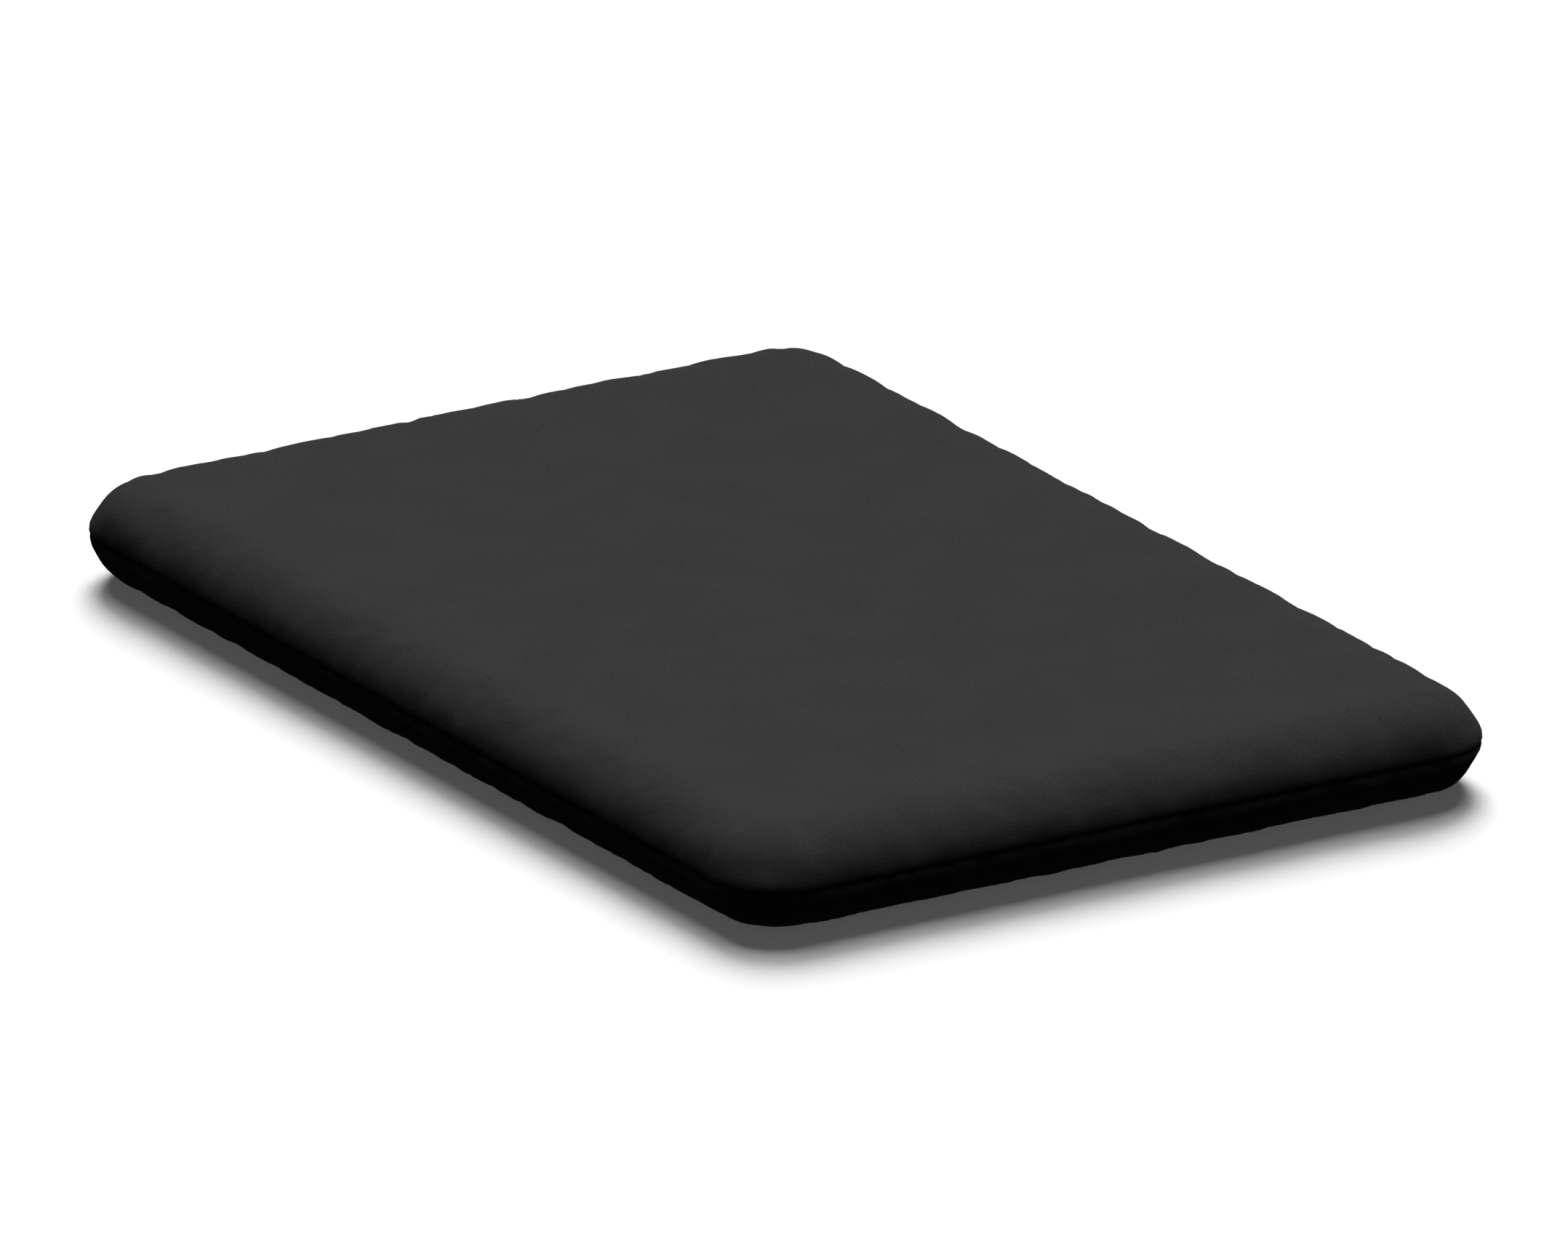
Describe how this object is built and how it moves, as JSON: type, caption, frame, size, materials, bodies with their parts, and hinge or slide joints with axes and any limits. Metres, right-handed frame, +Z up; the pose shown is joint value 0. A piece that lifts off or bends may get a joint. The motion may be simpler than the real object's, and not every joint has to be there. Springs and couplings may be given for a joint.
{
  "type": "futon mattress",
  "caption": "Thick cotton and foam mattress in a zipped two-panel canvas cover with rolled edges, folding along one line from a flat bed to a seat and backrest.",
  "frame": {"origin": "on the underside, in the middle of the seam's outline seen from above", "axes": "+X along the long sides towards the closed end of the zip, +Y from the front edge of the seat to the rear side with the zip, +Z up"},
  "size_m": [2.032, 1.3618, 0.156],
  "materials": {
    "cover_canvas": "matte charcoal basket-weave canvas",
    "casing_ticking": "unbleached cotton ticking",
    "cotton_filling": "matted cotton felt",
    "foam_filling": "open-cell foam",
    "tuft_felt": "pressed wool felt",
    "tuft_twine": "waxed twine",
    "zip_tape": "woven black polyester tape",
    "zip_coil": "black nylon coil",
    "zip_metal": "black enamelled die-cast",
    "label_cloth": "plain white woven label with nothing on it"
  },
  "bodies": {
    "seat": {"cover_top_panel_seat": "cover_canvas", "cover_bottom_panel_seat": "cover_canvas", "casing_top_panel_seat": "casing_ticking", "casing_boxing_seat": "casing_ticking", "casing_bottom_panel_seat": "casing_ticking", "top_outer_felt_seat": "cotton_filling", "top_inner_felt_seat": "cotton_filling", "top_foam_seat": "foam_filling", "cotton_core_seat": "cotton_filling", "bottom_foam_seat": "foam_filling", "bottom_inner_felt_seat": "cotton_filling", "bottom_outer_felt_seat": "cotton_filling", "tuft_pads_top_seat": "tuft_felt", "tuft_pads_bottom_seat": "tuft_felt", "tuft_twines_seat": "tuft_twine"},
    "back": {"cover_top_panel_back": "cover_canvas", "cover_bottom_panel_back": "cover_canvas", "casing_top_panel_back": "casing_ticking", "casing_boxing_back": "casing_ticking", "casing_bottom_panel_back": "casing_ticking", "top_outer_felt_back": "cotton_filling", "top_inner_felt_back": "cotton_filling", "top_foam_back": "foam_filling", "cotton_core_back": "cotton_filling", "bottom_foam_back": "foam_filling", "bottom_inner_felt_back": "cotton_filling", "bottom_outer_felt_back": "cotton_filling", "tuft_pads_top_back": "tuft_felt", "tuft_pads_bottom_back": "tuft_felt", "tuft_twines_back": "tuft_twine", "zip_tape_upper": "zip_tape", "zip_tape_lower": "zip_tape", "zip_coil_upper": "zip_coil", "zip_coil_lower": "zip_coil", "zip_stops": "zip_metal", "care_label": "label_cloth"},
    "zip_slider": {"zip_slider": "zip_metal"},
    "zip_pull": {"zip_pull": "zip_metal"}
  },
  "joints": [
    {"name": "fold", "type": "hinge", "parent": "seat", "child": "back", "pos_m": [0, -0.118, 0.156], "axis": [1, 0, 0], "range_deg": [0, 75]},
    {"name": "zip_slide", "type": "slide", "parent": "back", "child": "zip_slider", "axis": [-1, 0, 0], "range_m": [0, 1.662]},
    {"name": "pull_swing", "type": "hinge", "parent": "zip_slider", "child": "zip_pull", "pos_m": [0.831, 0.6817, 0.074], "axis": [0, 0, -1], "range_deg": [0, 180]}
  ]
}
